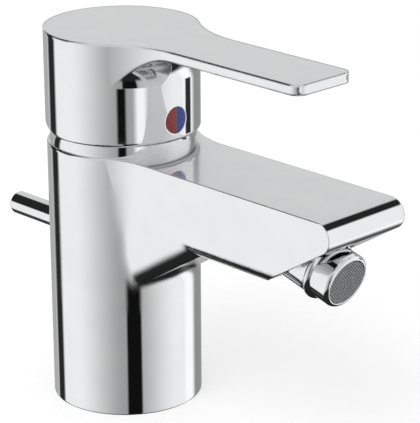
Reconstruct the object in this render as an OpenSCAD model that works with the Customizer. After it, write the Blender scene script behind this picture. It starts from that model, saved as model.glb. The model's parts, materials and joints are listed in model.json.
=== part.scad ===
// Single-lever deck mixer for a bidet: cast body with a slab spout, disc cartridge,
// flat lever, ball-jointed outlet nozzle and a rear rocker for the pop-up waste.
// Frame: +X along the spout, +Z up, origin at the centre of the base on the deck.

/* [Body] */
// Diameter of the column
column_d = 45.8; // [44:0.2:56]
// Height of the flat top of column and spout above the deck
body_h = 81.2; // [78:0.2:110]
// Rounding of the column's top edge
top_edge_r = 0.8; // [0.4:0.1:1.5]
// Wall round the recess in the base
base_wall = 4.5; // [3.5:0.1:6]
// Depth of the recess in the base
base_recess = 20; // [14:0.5:24]
// Depth of the cartridge seat below the top
seat_depth = 26.2; // [25:0.1:28]

/* [Spout] */
// Front of the spout from the column's axis
spout_reach = 97.8; // [90:0.2:150]
// Width of the spout
spout_w = 30.5; // [26:0.5:34]
// Depth of the spout below its flat top
spout_depth = 23.2; // [21:0.2:26]
// Radius of the rolled front edge
spout_roll_r = 4.6; // [3:0.1:6]
// Width of the rounding along the lower long edges
spout_edge_r = 4; // [2:0.1:6]
// Height of that rounding on the spout's sides
spout_edge_h = 6.5; // [3:0.1:9]
// Height of the rounding on the gusset's sides, square to the slope
gusset_edge_h = 11.4; // [6:0.1:13]
// Radius of the concave blend from spout to column, at the flat top
spout_blend_r = 30; // [15:1:45]
// Slope of the nozzle face and of the gusset under the root, in degrees
spout_slope = 32; // [26:1:38]
// Drop of the gusset below the spout where it meets the column
gusset_drop = 14; // [8:0.5:17]
// Fillet between gusset and column
root_fillet_r = 5; // [3:0.5:8]
// Diameter of the water channel in the spout
channel_d = 8.4; // [6:0.2:10]

/* [Lever] */
// Diameter of the lever's skirt
lever_d = 46.4; // [44:0.2:58]
// Height of the lever's flat top above the body's top
lever_rise = 34.3; // [31:0.1:45]
// Tip of the lever from the column's axis
lever_reach = 82; // [60:0.5:120]
// Width of the lever's blade
lever_w = 21.9; // [16:0.1:26]
// Thickness of the blade
lever_t = 3; // [2.4:0.1:5]
// Radius of the concave blend from blade to skirt, seen from above
lever_blend_r = 37; // [20:1:50]
// Radius of the scoop under the blade's root
scoop_r = 10; // [5:0.5:14]
// Corner radius of the blade's tip
tip_r = 3.2; // [1:0.1:6]
// Gap between the body's top and the skirt
skirt_gap = 3.4; // [3.2:0.1:5]
// Wall of the skirt
skirt_wall = 1.5; // [1.2:0.1:1.7]
// Rounding of the skirt's lower edge
skirt_edge_r = 1.1; // [0.5:0.1:1.2]
// Upward slope of the skirt's rear edge, in degrees
rear_relief = 12.5; // [10:0.5:20]
// Diameter of the hot and cold marker
marker_d = 7.9; // [6:0.1:9]
// Height of the marker above the skirt's lower edge
marker_rise = 6.5; // [5.5:0.1:8]

/* [Cartridge] */
// Outer diameter of the cartridge
cartridge_d = 34.8; // [34:0.1:35.6]
// Diameter of the fixed ceramic disc
fixed_disc_d = 26; // [25:0.2:27]
// Diameter of the moving ceramic disc
moving_disc_d = 22.4; // [21.5:0.1:22.6]
// Thickness of each ceramic disc
disc_t = 3; // [2.5:0.1:3.2]
// Height of the lever's pivot above the cartridge seat
pivot_rise = 19; // [18.5:0.1:19.5]
// Diameter of the pivot pin
pivot_d = 3; // [2.5:0.1:3.4]
// Width across the flats of the square stem
stem_w = 7.8; // [7:0.1:8.2]
// Height of the housing's shoulder above the cartridge seat
shoulder_rise = 16; // [15.5:0.1:16.5]
// Nominal diameter of the clamp nut's thread
nut_d = 38; // [37.8:0.1:38.4]
// Radius of the domed shroud's shoulder, which is also its height
shroud_dome_r = 5; // [4:0.1:5.4]

/* [Nozzle] */
// Outer diameter of the nozzle sleeve
nozzle_d = 16.2; // [15.6:0.1:17]
// Length of the sleeve in front of the ball's centre
nozzle_front = 10; // [9.4:0.1:13]
// Dip of the nozzle below the horizontal, in degrees
nozzle_dip = 15; // [5:1:22]
// Distance of the ball's centre behind the front of the spout
nozzle_setback = 16.6; // [15.5:0.1:18]
// Depth of the ball's centre below the flat top
nozzle_drop = 19.3; // [18.5:0.1:20]
// Diameter of the visible mesh
mesh_d = 13.4; // [12.6:0.1:13.6]

/* [Pop-up rocker] */
// Diameter of the rocker's rod
rocker_d = 7.2; // [6:0.1:8]
// Height of the rocker above the deck
rocker_z = 47.6; // [46:0.1:48.2]
// Rear end of the rocker from the column's axis
rocker_reach = 51.3; // [44:0.1:70]
// Distance of the lift link behind the column's axis
link_setback = 3; // [2:0.1:4]
// Diameter of the lift link
link_d = 4; // [3:0.1:4.4]

/* [Connections] */
// Minor diameter of the two inlet threads, M10 x 1
inlet_thread_d = 8.9; // [8.6:0.1:9.2]
// Distance between the two inlets
inlet_pitch = 16.8; // [16.2:0.1:17.4]
// Depth of the inlet threads
inlet_thread_depth = 12; // [8:0.5:14]
// Minor diameter of the stud thread, M8
stud_thread_d = 6.8; // [6.4:0.1:7]
// Depth of the stud thread
stud_thread_depth = 14; // [10:0.5:16]
// Distance of the stud in front of the column's axis
stud_forward = 10; // [8:0.5:12]

/* [Clearances] */
// Gap round pieces that are put in by hand
seat_gap = 0.3; // [0.2:0.05:0.35]
// Radial clearance of a pin or ball that turns in its seat
run_gap = 0.05; // [0.03:0.01:0.1]
// Gap between sliding flat faces
slide_gap = 0.2; // [0.1:0.05:0.3]

/* [Hidden] */

$fn = 72;
// Cutting tools run past the faces they cut by this much
past = 1;
// Blend arcs bite this far into the faces they meet, so that the faces cross cleanly
bite = 0.03;

col_r = column_d / 2;
lever_r = lever_d / 2;
seat_z = body_h - seat_depth;

// Spout and its gusset
spout_half = spout_w / 2;
spout_z = body_h - spout_depth;
roll_x = spout_reach - spout_roll_r;
roll_z = body_h - spout_roll_r;
corner_x = sqrt(pow(col_r, 2) - pow(spout_half, 2));
slope_rise = tan(spout_slope);
gusset_z = spout_z - gusset_drop;
gusset_root_z = gusset_z - (col_r - corner_x) * slope_rise;
gusset_top = spout_z + spout_depth / 2;
gusset_end_x = col_r + (gusset_top - gusset_z) / slope_rise;
// Steps of the blend's radius from its foot to the flat top, as shares of the full radius
blend_steps = [0.03, 0.3, 1];
blend_foot_z = gusset_root_z + gusset_edge_h / cos(spout_slope);
channel_z = body_h - spout_depth / 2;

// Cartridge stack above the seat
cart_r = cartridge_d / 2;
bore_r = cart_r + seat_gap;
base_z = seat_z + seat_gap;
base_h = 4.5;
disc_recess = 1.5;
fixed_z = base_z + base_h - disc_recess;
moving_z = fixed_z + disc_t + run_gap;
driver_z = moving_z + disc_t;
driver_h = 3.6;
driver_l = 13;
driver_w = 12;
pivot_z = seat_z + pivot_rise;
carrier_z = driver_z + seat_gap;
carrier_rise = 4;
carrier_top = pivot_z + carrier_rise;
neck_step = 1.5;
neck_wall = 1;
neck_r = cart_r - neck_step;
housing_r = neck_r - neck_wall;
carrier_r = housing_r - seat_gap;
housing_z = base_z + base_h;
shoulder_z = seat_z + shoulder_rise;
lip_h = 2;
housing_top = carrier_top + lip_h;
lip_w = 3.3;
lip_r = housing_r - lip_w;
oring_z = seat_z + shoulder_rise * 0.75;
stem_ball_r = 2.6;
stem_neck_r = 2;
stem_ball_z = driver_z + driver_h / 2;
stem_arm = pivot_z - stem_ball_z;
lift_max = 20;
driver_travel = stem_arm * lift_max * PI / 180;
nut_r = nut_d / 2;
nut_in_r = neck_r + seat_gap;
nut_sink = 0.4;
nut_top = body_h - nut_sink;
seal_wall = 1.4;
seal_h = 1;
drill_angle = 118;
port_x = -4.5;
port_r = 3;
outlet_x = 6;
drill_tip = (inlet_thread_d / 2 - port_r) / tan(drill_angle / 2);
oring_r = 0.75;
inlet_span = 34;
outlet_span = 70;
gasket_w = 2;
gasket_h = 1.8;
gasket_r = col_r - base_wall / 2;

// Lever
lever_top = body_h + lever_rise;
lever_half = lever_w / 2;
blade_z = lever_top - lever_t;
skirt_z = body_h + skirt_gap;
skirt_in_r = lever_r - skirt_wall;
lever_blend_y = lever_half + lever_blend_r - bite;
lever_blend_x = sqrt(pow(lever_r - bite + lever_blend_r, 2) - pow(lever_blend_y, 2));
lever_flare = lever_blend_y * (lever_r - bite) / (lever_r - bite + lever_blend_r);
boss_r = 7.4;
boss_margin = 0.4;
boss_z = skirt_z + marker_rise - marker_d / 2 - boss_margin;
stem_cover = 8;
stem_top = blade_z - stem_cover;
rear_cut_x = -2;
marker_z = skirt_z + marker_rise;
marker_r = marker_d / 2;
marker_t = 1.2;
cover_t = 1.6;
rib_t = 0.3;
screw_r = 2.5;
screw_l = 6;

// The shroud follows the skirt, which it clears by this gap
shroud_gap = 0.83;
shroud_centre_r = skirt_in_r - shroud_gap - sqrt(pow(shroud_dome_r, 2) - pow(skirt_gap, 2));
shroud_r = shroud_centre_r + shroud_dome_r;
shroud_wall = 1.2;
shroud_hole_r = 14.5;
seal_out_r = shroud_r - shroud_wall - seat_gap;

// Nozzle, measured along its own axis from the ball's centre
ball_x = spout_reach - nozzle_setback;
ball_z = body_h - nozzle_drop;
sleeve_r = nozzle_d / 2;
collar_step = 0.4;
collar_r = sleeve_r + collar_step;
bead_r = 1.05;
bead_z = 2.4;
bead_mid_r = sleeve_r + bite;
rim_r = 1.2;
sleeve_rear = 1.55;
sleeve_step = 3;
inner_ball_r = 6.3;
seat_shell_t = 0.7;
collar_back = 7.9;
washer_t = 0.6;
spigot_r = 5;
spigot_l = 7;
nozzle_bore_r = 3.2;
sleeve_port_r = 4.2;
ball_front = 5;
ball_step = 1.65;
swing_room = 1.7;
pocket_back = 0.6;
aerator_r = mesh_d / 2;
aerator_z = 6.4;
seat_rear = 4.3;
washer_h = 0.6;
screen_t = 0.5;
screen_recess = 0.25;

// Pop-up rocker
bush_r = 5.4;
bush_flange_r = 6.6;
bush_flange_t = 1.5;
bush_l = 9.4;
bush_sink = 0.3;
bush_x = -sqrt(pow(col_r, 2) - pow(bush_flange_r + seat_gap, 2)) + bush_sink;
bush_face_x = bush_x - bush_flange_t;
bush_end_x = bush_x + bush_l;
rocker_pivot_in = 3.8;
rocker_pivot_x = bush_x + rocker_pivot_in;
rocker_arm_r = 2.1;
rocker_tail_r = 1.6;
rocker_boss_r = 3.1;
rocker_swing = 8;
rocker_ball_r = 2.1;
rocker_lift = (-link_setback - rocker_pivot_x) * sin(rocker_swing);
link_head = 6.4;
link_head_h = 5.6;
link_half_w = 3.4;
link_bottom = 6;
link_spigot_l = 12;
link_step = 0.6;
link_spigot_d = link_d - link_step;
pin_inset = 0.4;
chamber_end_x = link_head / 2 + seat_gap - link_setback;
chamber_half = link_half_w + seat_gap;
chamber_half_h = link_head_h / 2 + rocker_lift + seat_gap;

// Small revolved ring: inner radius, outer radius, height
module ring(r_in, r_out, h) {
    difference() {
        cylinder(r = r_out, h = h);
        translate([0, 0, -past]) cylinder(r = r_in, h = h + 2 * past);
    }
}

// Kidney slot centred on the +X side
module kidney(r_mid, w, span, h) {
    rotate([0, 0, -span / 2])
        rotate_extrude(angle = span) translate([r_mid - w / 2, 0]) square([w, h]);
}

module at_ports() {
    for (side = [-1, 1]) translate([port_x, side * inlet_pitch / 2, 0]) children();
}

// Local +Z runs along the nozzle, out of the spout
module at_nozzle() {
    translate([ball_x, 0, ball_z]) rotate([0, 90 + nozzle_dip, 0]) children();
}

// Local +Z runs along +X from the given point
module along_x(x, z) {
    translate([x, 0, z]) rotate([0, 90, 0]) children();
}

// Plan position of the concave blend of radius r between a spout side and the column:
// its centre along X, and half the width where it runs into the column
function blend_x(r) = sqrt(pow(col_r - bite + r, 2) - pow(spout_half - bite + r, 2));
function blend_half(r) = (spout_half - bite + r) * (col_r - bite) / (col_r - bite + r);

// Flat bar seen from its end, with rounded lower edges
module bar_section(half, h, edge_w, edge_h) {
    translate([-half + edge_w, 0]) square([2 * (half - edge_w), h]);
    translate([-half, edge_h]) square([2 * half, h - edge_h]);
    for (side = [-1, 1]) translate([side * (half - edge_w), edge_h])
        scale([1, edge_h / edge_w]) circle(edge_w);
}

// Side view of the spout: rolled front edge and oblique nozzle face
module spout_side() {
    tangent_x = roll_x + spout_roll_r * sin(spout_slope);
    tangent_z = roll_z - spout_roll_r * cos(spout_slope);
    polygon([[0, 0], [tangent_x - tangent_z / tan(spout_slope), 0], [tangent_x, tangent_z],
        [roll_x, roll_z], [roll_x, body_h], [0, body_h]]);
    translate([roll_x, roll_z]) circle(spout_roll_r);
}

module slab() {
    intersection() {
        translate([0, spout_half, 0]) rotate([90, 0, 0]) linear_extrude(spout_w) spout_side();
        translate([0, 0, spout_z]) rotate([90, 0, 90]) linear_extrude(spout_reach)
            bar_section(spout_half, spout_depth, spout_edge_r, spout_edge_h);
    }
}

// Lays children out along the gusset's slope, from the column's axis, at a depth under its face
module along_slope(l, depth) {
    translate([0, 0, gusset_z - col_r * slope_rise - depth / cos(spout_slope)])
        rotate([0, -spout_slope, 0]) rotate([90, 0, 90]) linear_extrude(l) children();
}

// Inclined root of the spout, flush with its sides
module gusset() {
    h = (gusset_top - gusset_root_z) * cos(spout_slope);
    intersection() {
        along_slope(gusset_end_x / cos(spout_slope), 0)
            bar_section(spout_half, h, spout_edge_r, gusset_edge_h);
        translate([0, -spout_w, 0]) cube([gusset_end_x, 2 * spout_w, gusset_top]);
    }
}

// Concave blend from the spout's sides to the column; its radius runs out at the gusset's rounding
module side_blend() {
    rise = (body_h - blend_foot_z) / spout_blend_r;
    for (i = [1 : len(blend_steps) - 1]) {
        r0 = spout_blend_r * blend_steps[i - 1];
        r1 = spout_blend_r * blend_steps[i];
        h = (r1 - r0) * rise;
        lean = (blend_x(r1) - blend_x(r0)) / h;
        translate([0, 0, blend_foot_z + r0 * rise]) difference() {
            intersection() {
                translate([0, spout_w, 0]) rotate([90, 0, 0]) linear_extrude(2 * spout_w)
                    polygon([[0, 0], [blend_x(r0), 0], [blend_x(r1), h], [0, h]]);
                rotate([90, 0, 90]) linear_extrude(spout_reach) polygon([[-blend_half(r0), 0],
                    [blend_half(r0), 0], [blend_half(r1), h], [-blend_half(r1), h]]);
            }
            for (side = [-1, 1]) multmatrix([[1, 0, lean, blend_x(r0)],
                [0, 1, side / rise, side * (spout_half - bite + r0)], [0, 0, 1, 0]])
                cylinder(r1 = r0, r2 = r1, h = h, $fn = 180);
        }
    }
}

// Fillet between the gusset's flat underside and the column, fading out towards its sides
module root_fillet() {
    reach = root_fillet_r * tan((90 - spout_slope) / 2);
    half = spout_half - spout_edge_r / 2;
    top_z = gusset_z + reach * sin(spout_slope);
    intersection() {
        rotate_extrude() difference() {
            polygon([[col_r - past, gusset_z - reach], [col_r, gusset_z - reach],
                [col_r + reach * cos(spout_slope), top_z], [col_r - past, top_z]]);
            translate([col_r + root_fillet_r, gusset_z - reach]) circle(root_fillet_r);
        }
        along_slope(gusset_end_x, reach) bar_section(half, reach + past, half / 2, reach);
    }
}

module column() {
    rotate_extrude() {
        square([col_r, body_h - top_edge_r]);
        square([col_r - top_edge_r, body_h]);
        translate([col_r - top_edge_r, body_h - top_edge_r]) circle(top_edge_r);
    }
}

module cartridge_bores() {
    translate([0, 0, seat_z]) cylinder(r = bore_r, h = seat_depth + past);
    translate([0, 0, shoulder_z]) cylinder(r = nut_r, h = body_h - shoulder_z + past);
}

module inlet_bores() {
    at_ports() {
        cylinder(d = inlet_thread_d, h = base_recess + inlet_thread_depth);
        translate([0, 0, base_recess + inlet_thread_depth])
            cylinder(d1 = inlet_thread_d, d2 = 2 * port_r, h = drill_tip);
        cylinder(r = port_r, h = seat_z + past);
    }
}

// Outlet from the cartridge seat up the gusset, along the spout and into the nozzle
module outlet_channel() {
    r = channel_d / 2;
    start_z = seat_z + r;
    run = (channel_z - start_z) / sin(spout_slope);
    translate([cart_r - r, 0, start_z]) rotate([0, 90 - spout_slope, 0]) cylinder(r = r, h = run);
    bend_x = cart_r - r + run * cos(spout_slope);
    along_x(bend_x - r, channel_z) cylinder(r = r, h = ball_x - 3 * spigot_l / 2 - bend_x);
}

module nozzle_bores() {
    pocket_r = sleeve_r + swing_room;
    at_nozzle() {
        translate([0, 0, -pocket_back]) cylinder(r = pocket_r, h = 2 * nozzle_front);
        translate([0, 0, -collar_back - washer_t]) cylinder(r = collar_r + run_gap, h = collar_back);
        translate([0, 0, -collar_back - washer_t - spigot_l])
            cylinder(r = spigot_r + run_gap, h = spigot_l + past);
        translate([0, 0, -collar_back - 3 * spigot_l]) cylinder(r = nozzle_bore_r, h = 3 * spigot_l);
    }
}

module popup_cavity() {
    along_x(-2 * col_r, rocker_z) cylinder(r = bush_flange_r + seat_gap, h = 2 * col_r + bush_x);
    along_x(bush_x - past, rocker_z) cylinder(r = bush_r + run_gap, h = bush_l + past + seat_gap);
    translate([bush_end_x, -chamber_half, rocker_z - chamber_half_h])
        cube([chamber_end_x - bush_end_x, 2 * chamber_half, 2 * chamber_half_h]);
    translate([-link_setback, 0, 0]) cylinder(d = link_d + 2 * run_gap, h = rocker_z);
}

module body_casting() {
    color("gainsboro") difference() {
        union() {
            column();
            slab();
            gusset();
            side_blend();
            root_fillet();
        }
        translate([0, 0, -past]) cylinder(r = col_r - base_wall, h = base_recess + past);
        ring_groove();
        cartridge_bores();
        inlet_bores();
        translate([stud_forward, 0, 0]) cylinder(d = stud_thread_d, h = base_recess + stud_thread_depth);
        outlet_channel();
        nozzle_bores();
        popup_cavity();
    }
}

// Groove for the deck gasket, in the middle of the base's wall
module ring_groove() {
    half = gasket_w / 2 + run_gap;
    translate([0, 0, -past]) ring(gasket_r - half, gasket_r + half, gasket_h + past);
}

module deck_gasket() {
    color("dimgray") ring(gasket_r - gasket_w / 2, gasket_r + gasket_w / 2, gasket_h);
}

// Flat seals round the two inlets, half sunk in the cartridge base
module inlet_seals() {
    color("black") at_ports() translate([0, 0, seat_z]) ring(port_r, port_r + seal_wall, seal_h);
}

module cartridge_base() {
    color("whitesmoke") difference() {
        translate([0, 0, base_z]) cylinder(r = cart_r, h = base_h);
        translate([0, 0, fixed_z]) cylinder(d = fixed_disc_d + 2 * run_gap, h = disc_recess + past);
        at_ports() {
            translate([0, 0, seat_z]) cylinder(r = port_r + seal_wall + run_gap, h = seal_h);
            translate([0, 0, seat_z]) cylinder(r = port_r, h = base_h);
        }
        translate([outlet_x, 0, base_z - past]) cylinder(r = port_r, h = base_h);
        translate([outlet_x, -port_r, base_z - past]) cube([cart_r, 2 * port_r, past + base_h / 2]);
    }
}

// Ports of the ceramic discs: two inlets and the mixed outlet
module disc_ports(h) {
    r_mid = norm([port_x, inlet_pitch / 2]);
    turn = atan2(inlet_pitch / 2, port_x);
    for (side = [-1, 1]) rotate([0, 0, side * turn]) kidney(r_mid, port_r, inlet_span, h);
    kidney(outlet_x, port_r, outlet_span, h);
}

module ceramic_disc_fixed() {
    color("ivory") difference() {
        translate([0, 0, fixed_z]) cylinder(d = fixed_disc_d, h = disc_t);
        translate([0, 0, fixed_z - past]) disc_ports(disc_t + 2 * past);
    }
}

module ceramic_disc_moving() {
    color("ivory") difference() {
        translate([0, 0, moving_z]) cylinder(d = moving_disc_d, h = disc_t);
        translate([outlet_x / 2, 0, moving_z - past])
            cylinder(d = moving_disc_d / 2, h = disc_t / 2 + past);
    }
}

module disc_driver() {
    color("gray") difference() {
        translate([-driver_l / 2, -driver_w / 2, driver_z]) cube([driver_l, driver_w, driver_h]);
        translate([0, 0, driver_z + driver_h / 2 - stem_ball_r - seat_gap])
            cylinder(r = stem_ball_r + seat_gap, h = driver_h + stem_ball_r);
    }
}

module mixing_carrier() {
    slot_l = driver_l + driver_travel + 2 * slide_gap;
    slot_w = driver_w + 2 * slide_gap;
    stem_room = stem_w / 2 + (carrier_rise + lip_h) * tan(lift_max) + seat_gap;
    color("white") difference() {
        translate([0, 0, carrier_z]) cylinder(r = carrier_r, h = carrier_top - carrier_z);
        translate([-driver_l / 2 - slide_gap, -slot_w / 2, carrier_z - past])
            cube([slot_l, slot_w, driver_h + past]);
        translate([-stem_room, -stem_w / 2 - slide_gap, carrier_z])
            cube([2 * stem_room, stem_w + 2 * slide_gap, carrier_top - carrier_z + past]);
        translate([0, carrier_r + past, pivot_z]) rotate([90, 0, 0])
            cylinder(d = pivot_d + 2 * run_gap, h = 2 * (carrier_r + past));
    }
}

module stem_pin() {
    translate([0, carrier_r - seat_gap, pivot_z]) rotate([90, 0, 0])
        color("silver") cylinder(d = pivot_d, h = 2 * (carrier_r - seat_gap));
}

module cartridge_stem() {
    half = stem_w / 2;
    color("goldenrod") difference() {
        union() {
            translate([-half, -half, pivot_z - half]) cube([stem_w, stem_w, stem_top - pivot_z + half]);
            translate([0, 0, stem_ball_z]) cylinder(r = stem_neck_r, h = stem_arm - half + past);
            translate([0, 0, stem_ball_z]) sphere(stem_ball_r);
        }
        translate([0, half + past, pivot_z]) rotate([90, 0, 0])
            cylinder(d = pivot_d + 2 * run_gap, h = stem_w + 2 * past);
        translate([-half - past, -half - past, stem_ball_z - stem_ball_r - past])
            cube([stem_w + 2 * past, stem_w + 2 * past, past + stem_ball_r - driver_h / 2 + 2 * slide_gap]);
    }
}

module cartridge_housing() {
    color("lightgray") difference() {
        union() {
            translate([0, 0, housing_z]) cylinder(r = cart_r, h = shoulder_z - housing_z);
            translate([0, 0, housing_z]) cylinder(r = neck_r, h = housing_top - housing_z);
        }
        translate([0, 0, housing_z - past])
            cylinder(r = housing_r, h = carrier_top + seat_gap - housing_z + past);
        translate([0, 0, housing_z]) cylinder(r = lip_r, h = housing_top - housing_z + past);
        translate([0, 0, oring_z - oring_r])
            ring(cart_r - 2 * oring_r + seat_gap, cart_r + past, 2 * oring_r);
    }
}

module housing_seal() {
    color("black") translate([0, 0, oring_z]) rotate_extrude()
        translate([bore_r - oring_r - run_gap, 0]) circle(oring_r - run_gap, $fn = 32);
}

module cartridge_nut() {
    slots = 6;
    slot_w = 4;
    slot_h = 2.4;
    color("darkkhaki") difference() {
        translate([0, 0, shoulder_z]) ring(nut_in_r, nut_r - run_gap, nut_top - shoulder_z);
        for (i = [0 : slots - 1]) rotate([0, 0, i * 360 / slots])
            translate([nut_in_r - past, -slot_w / 2, nut_top - slot_h])
                cube([nut_r, slot_w, slot_h + past]);
    }
}

// Seal under the shroud, just inside its rim
module shroud_seal() {
    color("black") translate([0, 0, body_h]) ring(seal_out_r - seal_wall, seal_out_r, seal_h);
}

// Half-section of a dome with a rounded shoulder
module dome_profile(flat_r, r) {
    translate([0, -r]) square([flat_r, 2 * r]);
    translate([flat_r, 0]) circle(r);
}

module shroud_ring() {
    color("gainsboro") rotate_extrude() translate([0, body_h]) intersection() {
        translate([shroud_hole_r, 0]) square([shroud_r, shroud_dome_r]);
        difference() {
            dome_profile(shroud_centre_r, shroud_dome_r);
            dome_profile(shroud_centre_r, shroud_dome_r - shroud_wall);
        }
    }
}

// Plan of the blade with its concave blends to the round cap
module lever_plan() {
    translate([0, -lever_half]) square([lever_reach - tip_r, lever_w]);
    translate([0, -lever_half + tip_r]) square([lever_reach, lever_w - 2 * tip_r]);
    for (side = [-1, 1]) translate([lever_reach - tip_r, side * (lever_half - tip_r)]) circle(tip_r);
    difference() {
        translate([0, -lever_flare]) square([lever_blend_x, 2 * lever_flare]);
        for (side = [-1, 1]) translate([lever_blend_x, side * lever_blend_y])
            circle(lever_blend_r, $fn = 180);
    }
}

// Concave scoop from the skirt up to the blade's underside
module scoop() {
    intersection() {
        linear_extrude(lever_top) lever_plan();
        translate([0, 0, blade_z - scoop_r]) rotate_extrude() difference() {
            translate([lever_r - past, 0]) square([scoop_r + past, scoop_r + lever_t / 2]);
            translate([lever_r + scoop_r, 0]) circle(scoop_r);
        }
    }
}

module skirt() {
    rotate_extrude() {
        translate([0, skirt_z]) square([lever_r - skirt_edge_r, lever_top - skirt_z]);
        translate([0, skirt_z + skirt_edge_r]) square([lever_r, lever_top - skirt_z - skirt_edge_r]);
        translate([lever_r - skirt_edge_r, skirt_z + skirt_edge_r]) circle(skirt_edge_r);
    }
}

// Room for the rear of the skirt to swing down behind the column
module rear_cut() {
    translate([rear_cut_x, 0, skirt_z]) rotate([0, rear_relief, 0])
        translate([-2 * lever_d, -lever_d, -lever_d]) cube([2 * lever_d, 2 * lever_d, lever_d]);
}

module handle_boss() {
    translate([0, 0, boss_z]) cylinder(r = boss_r, h = lever_top - boss_z - past);
}

module lever_handle() {
    square_gap = stem_w / 2 + run_gap;
    color("gainsboro") difference() {
        union() {
            difference() {
                skirt();
                translate([0, 0, skirt_z - past])
                    cylinder(r = skirt_in_r, h = blade_z - skirt_z + past);
                rear_cut();
            }
            handle_boss();
            translate([0, 0, blade_z]) linear_extrude(lever_t) difference() {
                lever_plan();
                circle(lever_r - skirt_wall / 2);
            }
            difference() {
                scoop();
                cylinder(r = lever_r - skirt_wall / 2, h = lever_top);
            }
        }
        translate([-square_gap, -square_gap, boss_z - past])
            cube([2 * square_gap, 2 * square_gap, stem_top + run_gap - boss_z + past]);
        along_x(boss_r / 2, marker_z) cylinder(r = screw_r + run_gap, h = boss_r);
        along_x(lever_r - 2 * skirt_wall, marker_z) cylinder(r = marker_r + run_gap, h = 3 * skirt_wall);
    }
}

module handle_set_screw() {
    hex_d = 2.9;
    along_x(stem_w / 2 + run_gap, marker_z) color("dimgray") difference() {
        cylinder(r = screw_r, h = screw_l);
        translate([0, 0, screw_l / 2]) cylinder(d = hex_d, h = screw_l, $fn = 6);
    }
}

// Round slug through the skirt's front, faced to the skirt's outer curve
module marker_slug(depth_from, depth_to) {
    intersection() {
        along_x(0, marker_z) cylinder(r = marker_r - run_gap, h = 2 * lever_r);
        translate([0, 0, marker_z - marker_d])
            ring(lever_r - depth_to, lever_r - depth_from, 2 * marker_d);
    }
}

module marker_half(side) {
    intersection() {
        marker_slug(0, marker_t);
        translate([0, side > 0 ? rib_t / 2 : -marker_d - rib_t / 2, 0])
            cube([lever_d, marker_d, 2 * lever_top]);
    }
}

module screw_cover() {
    color("dimgray") {
        marker_slug(marker_t, marker_t + cover_t);
        intersection() {
            marker_slug(0, marker_t);
            translate([0, -rib_t / 2, 0]) cube([2 * lever_r, rib_t, 2 * lever_top]);
        }
    }
}

module marker_hot() {
    color("firebrick") marker_half(-1);
}

module marker_cold() {
    color("mediumblue") marker_half(1);
}

module collar_washer() {
    color("black") at_nozzle() translate([0, 0, -collar_back - washer_t])
        ring(spigot_r + seat_gap, collar_r - seat_gap, washer_t);
}

// Collar screwed into the spout, ending in the ball that the sleeve turns on
module nozzle_collar() {
    color("gainsboro") at_nozzle() difference() {
        union() {
            rotate_extrude() {
                translate([0, -collar_back]) square([collar_r, collar_back]);
                intersection() {
                    circle(collar_r);
                    square([collar_r, ball_step]);
                }
                intersection() {
                    circle(inner_ball_r);
                    square([collar_r, ball_front]);
                }
            }
            translate([0, 0, -collar_back - spigot_l]) cylinder(r = spigot_r, h = spigot_l + past);
        }
        translate([0, 0, -collar_back - spigot_l - past])
            cylinder(r = nozzle_bore_r, h = collar_back + spigot_l + ball_front + 2 * past);
    }
}

// Thin spherical shell in front of the ball
module ball_seat() {
    shell_in = inner_ball_r + run_gap;
    shell_out = inner_ball_r + seat_shell_t;
    color("tan") at_nozzle() rotate_extrude() intersection() {
        difference() {
            circle(shell_out);
            circle(shell_in);
        }
        translate([nozzle_bore_r, seat_rear]) square([shell_out, shell_out]);
    }
}

// Half-section of the sleeve's outside: a bead at the rear and a rounded front rim
module sleeve_outline() {
    intersection() {
        union() {
            square([sleeve_r, nozzle_front - rim_r]);
            square([sleeve_r - rim_r, nozzle_front]);
            translate([sleeve_r - rim_r, nozzle_front - rim_r]) circle(rim_r);
            translate([bead_mid_r, bead_z]) circle(bead_r);
        }
        translate([0, sleeve_rear]) square([2 * sleeve_r, nozzle_front]);
    }
}

module nozzle_sleeve() {
    front_sphere = inner_ball_r + seat_shell_t + run_gap;
    rear_sphere = collar_r + seat_gap;
    color("gainsboro") at_nozzle() rotate_extrude() difference() {
        sleeve_outline();
        circle(front_sphere);
        intersection() {
            circle(rear_sphere);
            square([rear_sphere, sleeve_step]);
        }
        translate([0, aerator_z]) square([aerator_r + run_gap, nozzle_front]);
        square([sleeve_port_r, nozzle_front]);
    }
}

module aerator_washer() {
    front_sphere = inner_ball_r + seat_shell_t + 2 * run_gap;
    color("black") at_nozzle() difference() {
        translate([0, 0, aerator_z]) ring(sleeve_port_r, aerator_r, washer_h);
        sphere(front_sphere);
    }
}

module aerator_insert() {
    start = aerator_z + washer_h;
    depth = nozzle_front - screen_recess - screen_t - start;
    holes = 10;
    hole_r = 0.7;
    pitch_r = 0.62 * aerator_r;
    color("white") at_nozzle() difference() {
        translate([0, 0, start]) cylinder(r = aerator_r, h = depth);
        sphere(inner_ball_r + seat_shell_t + 2 * run_gap);
        for (i = [0 : holes - 1]) rotate([0, 0, i * 360 / holes])
            translate([pitch_r, 0, start - past]) cylinder(r = hole_r, h = depth + 2 * past, $fn = 24);
    }
}

module aerator_screen() {
    color("gray") at_nozzle() translate([0, 0, nozzle_front - screen_recess - screen_t])
        cylinder(r = aerator_r, h = screen_t);
}

// Bush screwed into the column's rear, slotted for the rocker that it carries
module popup_bush() {
    arm = max(rocker_pivot_x - bush_face_x, bush_end_x - rocker_pivot_x);
    arm_room = rocker_arm_r / cos(rocker_swing) + arm * tan(rocker_swing);
    slot_half = max(arm_room, rocker_boss_r) + seat_gap;
    slot_w = 2 * (rocker_arm_r + slide_gap);
    color("silver") difference() {
        union() {
            along_x(bush_face_x, rocker_z) cylinder(r = bush_flange_r, h = bush_flange_t);
            along_x(bush_face_x, rocker_z) cylinder(r = bush_r, h = bush_l + bush_flange_t);
        }
        translate([bush_face_x - past, -slot_w / 2, rocker_z - slot_half])
            cube([bush_l + bush_flange_t + 2 * past, slot_w, 2 * slot_half]);
        translate([rocker_pivot_x, bush_r, rocker_z]) rotate([90, 0, 0])
            cylinder(d = pivot_d + 2 * run_gap, h = 2 * bush_r);
    }
}

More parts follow.
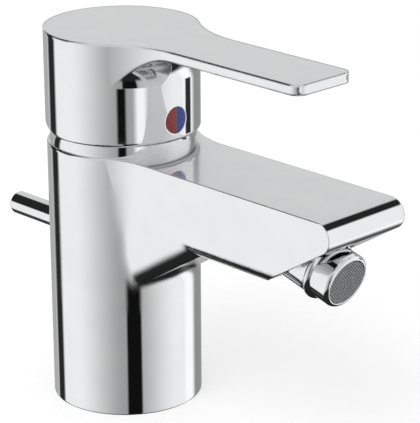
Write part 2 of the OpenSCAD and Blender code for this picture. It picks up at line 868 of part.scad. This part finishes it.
module popup_pivot_pin() {
    half = bush_r - pin_inset;
    color("silver") translate([rocker_pivot_x, half, rocker_z]) rotate([90, 0, 0])
        cylinder(d = pivot_d, h = 2 * half);
}

module popup_rocker() {
    shoulder_x = bush_face_x - past;
    end_r = 0.6;
    rod_l = rocker_reach + shoulder_x;
    color("gainsboro") difference() {
        union() {
            along_x(-rocker_reach, rocker_z) rotate_extrude() {
                square([rocker_d / 2 - end_r, rod_l]);
                translate([0, end_r]) square([rocker_d / 2, rod_l - end_r]);
                translate([rocker_d / 2 - end_r, end_r]) circle(end_r);
            }
            along_x(shoulder_x - past, rocker_z)
                cylinder(r = rocker_arm_r, h = bush_end_x - shoulder_x + past);
            along_x(rocker_pivot_x, rocker_z)
                cylinder(r = rocker_tail_r, h = -link_setback - rocker_pivot_x);
            translate([-link_setback, 0, rocker_z]) sphere(rocker_ball_r);
            translate([rocker_pivot_x, rocker_arm_r, rocker_z]) rotate([90, 0, 0])
                cylinder(r = rocker_boss_r, h = 2 * rocker_arm_r);
        }
        translate([rocker_pivot_x, rocker_d, rocker_z]) rotate([90, 0, 0])
            cylinder(d = pivot_d + 2 * run_gap, h = 2 * rocker_d);
    }
}

// Vertical link lifted by the rocker's inner end; its lower spigot takes the pull rod
module lift_link() {
    eye_r = rocker_ball_r + slide_gap;
    shoulder_z = link_bottom + link_spigot_l;
    color("silver") difference() {
        union() {
            translate([-link_setback, 0, link_bottom])
                cylinder(d = link_spigot_d, h = rocker_z - link_bottom);
            translate([-link_setback, 0, shoulder_z]) cylinder(d = link_d, h = rocker_z - shoulder_z);
            translate([-link_setback - link_head / 2, -link_half_w, rocker_z - link_head_h / 2])
                cube([link_head, 2 * link_half_w, link_head_h]);
        }
        along_x(-link_setback - link_head, rocker_z) cylinder(r = eye_r, h = 2 * link_head);
    }
}

body_casting();
deck_gasket();
inlet_seals();
cartridge_base();
ceramic_disc_fixed();
cartridge_housing();
housing_seal();
cartridge_nut();
shroud_seal();
shroud_ring();
mixing_carrier();
stem_pin();
ceramic_disc_moving();
disc_driver();
cartridge_stem();
lever_handle();
handle_set_screw();
screw_cover();
marker_hot();
marker_cold();
collar_washer();
nozzle_collar();
ball_seat();
nozzle_sleeve();
aerator_washer();
aerator_insert();
aerator_screen();
popup_bush();
popup_pivot_pin();
popup_rocker();
lift_link();
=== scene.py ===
import json
import math

import bpy
from mathutils import Matrix, Vector

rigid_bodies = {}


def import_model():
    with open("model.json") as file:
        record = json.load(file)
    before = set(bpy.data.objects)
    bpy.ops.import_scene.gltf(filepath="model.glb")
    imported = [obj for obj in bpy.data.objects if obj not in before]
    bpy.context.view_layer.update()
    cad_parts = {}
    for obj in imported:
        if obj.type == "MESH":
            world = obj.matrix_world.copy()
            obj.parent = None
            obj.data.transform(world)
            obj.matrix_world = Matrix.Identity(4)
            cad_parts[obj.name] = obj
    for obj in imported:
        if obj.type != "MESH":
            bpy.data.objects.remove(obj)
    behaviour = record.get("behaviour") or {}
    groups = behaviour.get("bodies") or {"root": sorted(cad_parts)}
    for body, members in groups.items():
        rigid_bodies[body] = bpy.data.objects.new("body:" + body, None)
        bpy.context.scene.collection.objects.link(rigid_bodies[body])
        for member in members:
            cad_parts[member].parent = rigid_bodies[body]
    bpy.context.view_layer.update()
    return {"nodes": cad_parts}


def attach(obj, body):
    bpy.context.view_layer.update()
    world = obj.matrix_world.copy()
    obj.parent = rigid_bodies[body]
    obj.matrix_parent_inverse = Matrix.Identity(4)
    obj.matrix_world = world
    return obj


for leftover in list(bpy.data.objects):
    bpy.data.objects.remove(leftover)

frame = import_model()
nodes = frame["nodes"]
scene = bpy.context.scene
MM = 0.001

# The photograph's camera, in millimetres and degrees
CAM_AZIMUTH = 41.722
CAM_DISTANCE = 607.648
CAM_HEIGHT = 272.808
CAM_YAW = 2.431
CAM_PITCH = 19.568
CAM_ROLL = -0.296
CAM_FOCAL_PX = 2123.78
IMAGE_H = 423
SENSOR = 36.0
CLIP_START = 10.0


def add_camera():
    """Camera fitted to the photograph."""
    azimuth = math.radians(CAM_AZIMUTH)
    heading = math.radians(CAM_AZIMUTH + CAM_YAW)
    pitch = math.radians(CAM_PITCH)
    roll = math.radians(CAM_ROLL)
    place = Vector((CAM_DISTANCE * math.cos(azimuth), -CAM_DISTANCE * math.sin(azimuth), CAM_HEIGHT))
    forward = Vector((-math.cos(heading) * math.cos(pitch),
                      math.sin(heading) * math.cos(pitch), -math.sin(pitch)))
    level = forward.cross(Vector((0, 0, 1))).normalized()
    upright = level.cross(forward)
    right = math.cos(roll) * level + math.sin(roll) * upright
    up = math.cos(roll) * upright - math.sin(roll) * level
    data = bpy.data.cameras.new("camera")
    data.sensor_width = SENSOR
    data.lens = CAM_FOCAL_PX * SENSOR / IMAGE_H
    data.clip_start = CLIP_START * MM
    camera = bpy.data.objects.new("camera", data)
    turn = Matrix((right, up, -forward)).transposed()
    camera.matrix_world = Matrix.Translation(place * MM) @ turn.to_4x4()
    scene.collection.objects.link(camera)
    scene.camera = camera


class Tree:
    """Small helper for building a node tree."""

    def __init__(self, tree):
        self.tree = tree
        tree.nodes.clear()

    def add(self, kind, settings=None, **inputs):
        node = self.tree.nodes.new(kind)
        for key, value in (settings or {}).items():
            setattr(node, key, value)
        for key, value in inputs.items():
            self.put(node, key.replace("_", " "), value)
        return node

    def put(self, node, socket, value):
        if isinstance(socket, str) and socket.isdigit():
            socket = int(socket)
        target = node.inputs[socket]
        if isinstance(value, bpy.types.NodeSocket):
            self.tree.links.new(value, target)
        else:
            target.default_value = value

    def math(self, operation, first, second=None):
        node = self.add("ShaderNodeMath", {"operation": operation})
        self.put(node, 0, first)
        if second is not None:
            self.put(node, 1, second)
        return node.outputs[0]

    def ramp(self, value, low, high, start, end):
        """start below low, end above high, with a smooth step between them."""
        node = self.add("ShaderNodeMapRange", {"interpolation_type": "SMOOTHSTEP"})
        for socket, number in zip((0, 1, 2, 3, 4), (value, low, high, start, end)):
            self.put(node, socket, number)
        return node.outputs[0]

    def blend(self, factor, first, second):
        node = self.add("ShaderNodeMix", {"data_type": "FLOAT"})
        for socket, number in zip((0, 2, 3), (factor, first, second)):
            self.put(node, socket, number)
        return node.outputs[0]


# The studio that the chrome mirrors: bearing from the camera's side and height, in degrees
# Each flag or card: bearing from, bearing to, soft edge, height from, height to, soft edge, brightness
STUDIO_CARDS = {
    "left_wall": (-200, -138, 14, -90, 90, 1, 0.45),
    "left_flag": (-137, -117, 7, -90, 12, 6, 0.025),
    "right_wall": (126, 200, 12, -90, 90, 1, 0.31),
    "rear": (166, 220, 26, -90, 90, 1, 0.45),
    "right_card": (101, 121, 8, -70, 10, 10, 1.15),
    "low_gap": (-1, 22, 4, -80, -19, 2, 0.006),
    "high_gap": (-9, 4, 5, -18.5, 30, 2, 0.006),
    "high_card": (18, 34, 10, -18.5, 10, 2, 1.1),
    "front_high": (-75, 75, 30, 12, 50, 12, 0.72),
    "table_edge": (105, 119, 4, -18.5, 0, 2, 0.03),
    "back_right": (150, 220, 20, 4, 46, 6, 0.74),
    "back_left": (-220, -150, 20, 4, 46, 6, 0.74),
    "high_left": (-152, -84, 8, 8, 90, 6, 0.02),
    "high_right": (80, 146, 8, 35, 90, 6, 0.02),
    "ceiling": (-400, 400, 1, 62, 200, 12, 0.75),
    "under": (-400, 400, 1, -200, -44, 12, 0.02),
    "rear_floor_left": (-220, -138, 12, -90, -33, 8, 0.02),
    "rear_floor_right": (146, 220, 12, -90, -33, 8, 0.02),
}
# Wall behind the camera, and wall from STUDIO_SIDE_AT degrees on to either side
STUDIO_FRONT = 0.38
STUDIO_SIDE = 1.0
STUDIO_SIDE_AT = 85
# What lights the surfaces that aren't mirrors
ROOM_LIGHT = 0.85
WHITE = (1, 1, 1, 1)


def card_share(tree, bearing, height, card):
    """1 inside a card, 0 outside it, with its soft edges between."""
    left, right, soft, low, high, soft_h = card
    share = 1
    for value, start, end, blur in ((bearing, left, right, soft), (height, low, high, soft_h)):
        enter = tree.ramp(value, start - blur / 2, start + blur / 2, 0, 1)
        leave = tree.ramp(value, end - blur / 2, end + blur / 2, 1, 0)
        share = tree.math("MULTIPLY", share, tree.math("MULTIPLY", enter, leave))
    return share


def add_world():
    """Plain white behind the object, the studio in its mirrors and even light on the rest."""
    world = bpy.data.worlds.new("studio")
    world.use_nodes = True
    scene.world = world
    tree = Tree(world.node_tree)
    coords = tree.add("ShaderNodeTexCoord")
    turned = tree.add("ShaderNodeMapping", {"vector_type": "POINT"})
    turned.inputs["Rotation"].default_value = (0, 0, math.radians(CAM_AZIMUTH))
    tree.put(turned, "Vector", coords.outputs["Generated"])
    split = tree.add("ShaderNodeSeparateXYZ", Vector=turned.outputs[0])
    x, y, z = split.outputs
    bearing = tree.math("DEGREES", tree.math("ARCTAN2", y, x))
    height = tree.math("DEGREES", tree.math("ARCSINE", z))
    level = tree.ramp(tree.math("ABSOLUTE", bearing), 0, STUDIO_SIDE_AT, STUDIO_FRONT, STUDIO_SIDE)
    for *card, brightness in STUDIO_CARDS.values():
        level = tree.blend(card_share(tree, bearing, height, card), level, brightness)
    path = tree.add("ShaderNodeLightPath")
    seen = tree.add("ShaderNodeBackground", Color=WHITE, Strength=1.0)
    mirrored = tree.add("ShaderNodeBackground", Color=WHITE, Strength=level)
    room = tree.add("ShaderNodeBackground", Color=WHITE, Strength=ROOM_LIGHT)
    gloss = tree.math("MAXIMUM", path.outputs["Is Glossy Ray"], path.outputs["Is Transmission Ray"])
    lit = tree.add("ShaderNodeMixShader", **{"0": gloss, "1": room.outputs[0], "2": mirrored.outputs[0]})
    final = tree.add("ShaderNodeMixShader",
                     **{"0": path.outputs["Is Camera Ray"], "1": lit.outputs[0], "2": seen.outputs[0]})
    tree.add("ShaderNodeOutputWorld", Surface=final.outputs[0])


# Floor and key light, in metres and watts
FLOOR_SIZE = 4.0
FLOOR_GLOW = 0.5
FLOOR_TONE = 0.52
FLOOR_DRIFT = 0.01
FLOOR_SPECKS = 900.0
KEY_PLACE = (0.3, -0.9, 1.3)
KEY_SIZE = 0.9
KEY_POWER = 9.0

# Part of a noise texture's range that is used, and how much fine detail it has
NOISE_LOW = 0.3
NOISE_HIGH = 0.7
TINT_DETAIL = 4.0
RELIEF_DETAIL = 3.0


def add_floor():
    """White floor that keeps the object's shadow and isn't mirrored."""
    mesh = bpy.data.meshes.new("floor")
    half = FLOOR_SIZE / 2
    corners = [(-half, -half, 0), (half, -half, 0), (half, half, 0), (-half, half, 0)]
    mesh.from_pydata(corners, [], [(0, 1, 2, 3)])
    floor = bpy.data.objects.new("floor", mesh)
    scene.collection.objects.link(floor)
    material = bpy.data.materials.new("floor")
    material.use_nodes = True
    tree = Tree(material.node_tree)
    path = tree.add("ShaderNodeLightPath")
    glow = tree.math("MULTIPLY", path.outputs["Is Camera Ray"], FLOOR_GLOW)
    speckle = tree.add("ShaderNodeTexNoise", Scale=FLOOR_SPECKS, Detail=RELIEF_DETAIL).outputs["Fac"]
    tone = tree.ramp(speckle, NOISE_LOW, NOISE_HIGH, FLOOR_TONE - FLOOR_DRIFT, FLOOR_TONE + FLOOR_DRIFT)
    matt = tree.add("ShaderNodeBsdfDiffuse", Color=tone)
    shine = tree.add("ShaderNodeEmission", Strength=glow)
    both = tree.add("ShaderNodeAddShader", **{"0": matt.outputs[0], "1": shine.outputs[0]})
    tree.add("ShaderNodeOutputMaterial", Surface=both.outputs[0])
    mesh.materials.append(material)
    floor.visible_glossy = False


def add_key_light():
    data = bpy.data.lights.new("key", "AREA")
    data.size = KEY_SIZE
    data.energy = KEY_POWER
    key = bpy.data.objects.new("key", data)
    key.location = KEY_PLACE
    key.rotation_euler = (-Vector(KEY_PLACE)).to_track_quat("-Z", "Y").to_euler()
    key.visible_glossy = False
    scene.collection.objects.link(key)


# Faces that look up are partly satin: height of the normal where that starts and is full, and its roughness
HAZE_FROM = 0.97
HAZE_FULL = 0.995
HAZE_ROUGH = 0.35
BEVEL_SAMPLES = 12

# Places whose edges are softened more, in millimetres
# Each zone: softening radius, height it fades in over, height it fades out over, reach it fades out over
SOFT_ZONES = {
    "spout_root": (4.5, (30, 36), (68, 76), (34, 46)),
    "lever_top": (1.5, (105, 109), (140, 150), (140, 150)),
}


def softness(tree, coords, edge, zone):
    """Softening radius in metres: the zone's own inside the zone and edge elsewhere."""
    radius, fade_in, fade_out, reach = SOFT_ZONES[zone]
    x, _, z = tree.add("ShaderNodeSeparateXYZ", Vector=coords).outputs
    share = tree.ramp(z, fade_in[0] * MM, fade_in[1] * MM, 0, 1)
    share = tree.math("MULTIPLY", share, tree.ramp(z, fade_out[0] * MM, fade_out[1] * MM, 1, 0))
    share = tree.math("MULTIPLY", share, tree.ramp(x, reach[0] * MM, reach[1] * MM, 1, 0))
    return tree.blend(share, edge * MM, radius * MM)


def softened_normal(tree, coords, edge, zone, upright):
    """Normal with rounded edges, and with its slope reduced where upright is under 1."""
    radius = softness(tree, coords, edge, zone) if zone else edge * MM
    normal = tree.add("ShaderNodeBevel", {"samples": BEVEL_SAMPLES}, Radius=radius).outputs[0]
    if upright == 1:
        return normal
    reduced = tree.add("ShaderNodeVectorMath", {"operation": "MULTIPLY"})
    tree.put(reduced, 0, normal)
    tree.put(reduced, 1, (1, 1, upright))
    unit = tree.add("ShaderNodeVectorMath", {"operation": "NORMALIZE"})
    tree.put(unit, 0, reduced.outputs[0])
    return unit.outputs[0]


def with_relief(tree, coords, height, grain, normal):
    """Normal with fine relief of the given height and grain, in millimetres."""
    noise = tree.add("ShaderNodeTexNoise", Vector=coords, Scale=1 / (grain * MM), Detail=RELIEF_DETAIL)
    lift = tree.add("ShaderNodeBump", Height=noise.outputs["Fac"], Distance=height * MM)
    if normal is not None:
        tree.put(lift, "Normal", normal)
    return lift.outputs[0]


def with_haze(tree, mirror, tint, normal, haze):
    """Mirror shader mixed with a satin one where the normal looks up."""
    upward = tree.add("ShaderNodeSeparateXYZ", Vector=normal).outputs["Z"]
    share = tree.ramp(upward, HAZE_FROM, HAZE_FULL, 0, haze)
    satin = tree.add("ShaderNodeBsdfPrincipled", Base_Color=tint, Metallic=1.0, Roughness=HAZE_ROUGH)
    mix = tree.add("ShaderNodeMixShader", **{"0": share, "1": mirror, "2": satin.outputs[0]})
    return mix.outputs[0]


def surface(name, dark, light, rough, grain, bump=0.0, bump_grain=None, edge=0.0, haze=0.0,
            zone=None, upright=1.0, **sockets):
    """Principled material whose colour and roughness drift between two values with the grain.

    grain and bump_grain are the sizes of the detail in millimetres and bump is its height.
    edge is the radius that edges are softened by, and haze the satin share of faces that look up.
    zone names the place in SOFT_ZONES where edges are softened more.
    upright under 1 shades a sloping wall more like a straight one. haze and upright need an edge.
    """
    material = bpy.data.materials.new(name)
    material.use_nodes = True
    tree = Tree(material.node_tree)
    coords = tree.add("ShaderNodeTexCoord").outputs["Object"]
    noise = tree.add("ShaderNodeTexNoise", Vector=coords, Scale=1 / (grain * MM), Detail=TINT_DETAIL)
    drift = noise.outputs["Fac"]
    ramp = tree.add("ShaderNodeValToRGB", Fac=drift)
    for stop, place, color in zip(ramp.color_ramp.elements, (NOISE_LOW, NOISE_HIGH), (dark, light)):
        stop.position = place
        stop.color = (*color, 1)
    tint = ramp.outputs["Color"]
    roughness = tree.ramp(drift, NOISE_LOW, NOISE_HIGH, *rough)
    shader = tree.add("ShaderNodeBsdfPrincipled", Base_Color=tint, Roughness=roughness, **sockets)
    smooth = softened_normal(tree, coords, edge, zone, upright) if edge else None
    normal = with_relief(tree, coords, bump, bump_grain, smooth) if bump else smooth
    if normal is not None:
        tree.put(shader, "Normal", normal)
    final = shader.outputs[0]
    if haze:
        final = with_haze(tree, final, tint, smooth, haze)
    tree.add("ShaderNodeOutputMaterial", Surface=final)
    return material


def dress(material, *names):
    for name in names:
        mesh = nodes[name].data
        mesh.materials.clear()
        mesh.materials.append(material)


# Woven wire mesh of the aerator, in millimetres, on the nozzle's axis
BALL_CENTRE = Vector((81.2, 0, 61.9))
NOZZLE_DIP = math.radians(15)
MESH_AT = 9.82
MESH_R = 6.6
MESH_PITCH = 0.45
WIRE_R = 0.1
WIRE_SIDES = 6
WIRE_STEPS = 4


def add_wire(points, faces, along, across, outward, offset, sign):
    """One wavy wire of the weave: offset is its place across, sign says which way it starts."""
    half = math.sqrt(MESH_R ** 2 - offset ** 2)
    count = max(2, int(2 * half / MESH_PITCH * WIRE_STEPS))
    centre = BALL_CENTRE + outward * MESH_AT + across * offset
    first = len(points)
    for i in range(count + 1):
        t = half * (2 * i / count - 1)
        spine = centre + along * t + outward * (sign * WIRE_R * math.cos(math.pi * t / MESH_PITCH))
        for k in range(WIRE_SIDES):
            turn = 2 * math.pi * k / WIRE_SIDES
            points.append((spine + WIRE_R * (math.cos(turn) * across + math.sin(turn) * outward)) * MM)
    for i in range(count):
        for k in range(WIRE_SIDES):
            here = first + i * WIRE_SIDES
            beside = (k + 1) % WIRE_SIDES
            faces.append((here + k, here + beside, here + WIRE_SIDES + beside, here + WIRE_SIDES + k))


def add_aerator_mesh(material):
    """Plain weave of round wires across the nozzle's mouth."""
    outward = Vector((math.cos(NOZZLE_DIP), 0, -math.sin(NOZZLE_DIP)))
    sideways = Vector((0, 1, 0))
    upward = outward.cross(sideways)
    points, faces = [], []
    rows = int(MESH_R / MESH_PITCH)
    for row in range(-rows, rows + 1):
        sign = 1 if row % 2 else -1
        add_wire(points, faces, sideways, upward, outward, row * MESH_PITCH, sign)
        add_wire(points, faces, upward, sideways, outward, row * MESH_PITCH, -sign)
    mesh = bpy.data.meshes.new("aerator_mesh")
    mesh.from_pydata(points, [], faces)
    mesh.polygons.foreach_set("use_smooth", [True] * len(faces))
    mesh.materials.append(material)
    piece = bpy.data.objects.new("aerator_mesh", mesh)
    scene.collection.objects.link(piece)
    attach(piece, "nozzle")


add_camera()
add_world()
add_floor()
add_key_light()

CHROME = {"dark": (0.80, 0.81, 0.82), "light": (0.84, 0.845, 0.85), "rough": (0.015, 0.035), "grain": 9,
          "bump": 0.002, "bump_grain": 4, "edge": 0.6, "Metallic": 1.0}
chrome = surface("chrome", **CHROME, haze=0.5)
dress(chrome, "nozzle_collar", "nozzle_sleeve", "popup_rocker")
cast_chrome = surface("cast_chrome", **CHROME, haze=0.5, zone="spout_root")
dress(cast_chrome, "body_casting")
lever_chrome = surface("lever_chrome", **CHROME, haze=0.5, zone="lever_top")
dress(lever_chrome, "lever_handle")
shroud_chrome = surface("shroud_chrome", **CHROME, upright=0.15)
dress(shroud_chrome, "shroud_ring")
steel = surface("steel", (0.55, 0.56, 0.57), (0.63, 0.635, 0.64), (0.2, 0.32), 1.2,
                bump=0.004, bump_grain=0.3, Metallic=1.0)
dress(steel, "lift_link", "popup_pivot_pin", "stem_pin")
add_aerator_mesh(steel)
shadowed_steel = surface("shadowed_steel", (0.02, 0.02, 0.022), (0.04, 0.04, 0.042), (0.4, 0.55), 0.5,
                         bump=0.01, bump_grain=0.2, Metallic=0.5)
dress(shadowed_steel, "aerator_screen")
brass = surface("brass", (0.66, 0.50, 0.26), (0.75, 0.58, 0.32), (0.22, 0.38), 1.5,
                bump=0.006, bump_grain=0.35, Metallic=1.0)
dress(brass, "cartridge_nut", "cartridge_stem", "popup_bush")
black_steel = surface("black_steel", (0.035, 0.035, 0.037), (0.06, 0.06, 0.062), (0.35, 0.5), 0.8,
                      bump=0.004, bump_grain=0.2, Metallic=0.6)
dress(black_steel, "handle_set_screw")
rubber = surface("rubber", (0.012, 0.012, 0.013), (0.025, 0.025, 0.026), (0.55, 0.75), 0.8,
                 bump=0.01, bump_grain=0.12)
dress(rubber, "deck_gasket", "inlet_seals", "housing_seal", "shroud_seal", "collar_washer", "aerator_washer")
ceramic = surface("ceramic", (0.82, 0.80, 0.75), (0.87, 0.86, 0.82), (0.12, 0.2), 1.0,
                  bump=0.001, bump_grain=0.1)
dress(ceramic, "ceramic_disc_fixed", "ceramic_disc_moving")
white_plastic = surface("white_plastic", (0.80, 0.80, 0.79), (0.86, 0.86, 0.85), (0.3, 0.42), 2.0,
                        bump=0.003, bump_grain=0.15)
dress(white_plastic, "cartridge_base", "mixing_carrier", "ball_seat", "aerator_insert")
grey_plastic = surface("grey_plastic", (0.12, 0.12, 0.125), (0.16, 0.16, 0.165), (0.35, 0.5), 2.0,
                       bump=0.003, bump_grain=0.15)
dress(grey_plastic, "cartridge_housing", "disc_driver", "screw_cover")
hot_red = surface("hot_red", (0.25, 0.02, 0.022), (0.31, 0.026, 0.028), (0.12, 0.2), 0.8,
                  bump=0.002, bump_grain=0.2)
dress(hot_red, "marker_hot")
cold_blue = surface("cold_blue", (0.012, 0.03, 0.25), (0.02, 0.045, 0.33), (0.12, 0.2), 0.8,
                    bump=0.002, bump_grain=0.2)
dress(cold_blue, "marker_cold")

scene.view_settings.view_transform = "Standard"
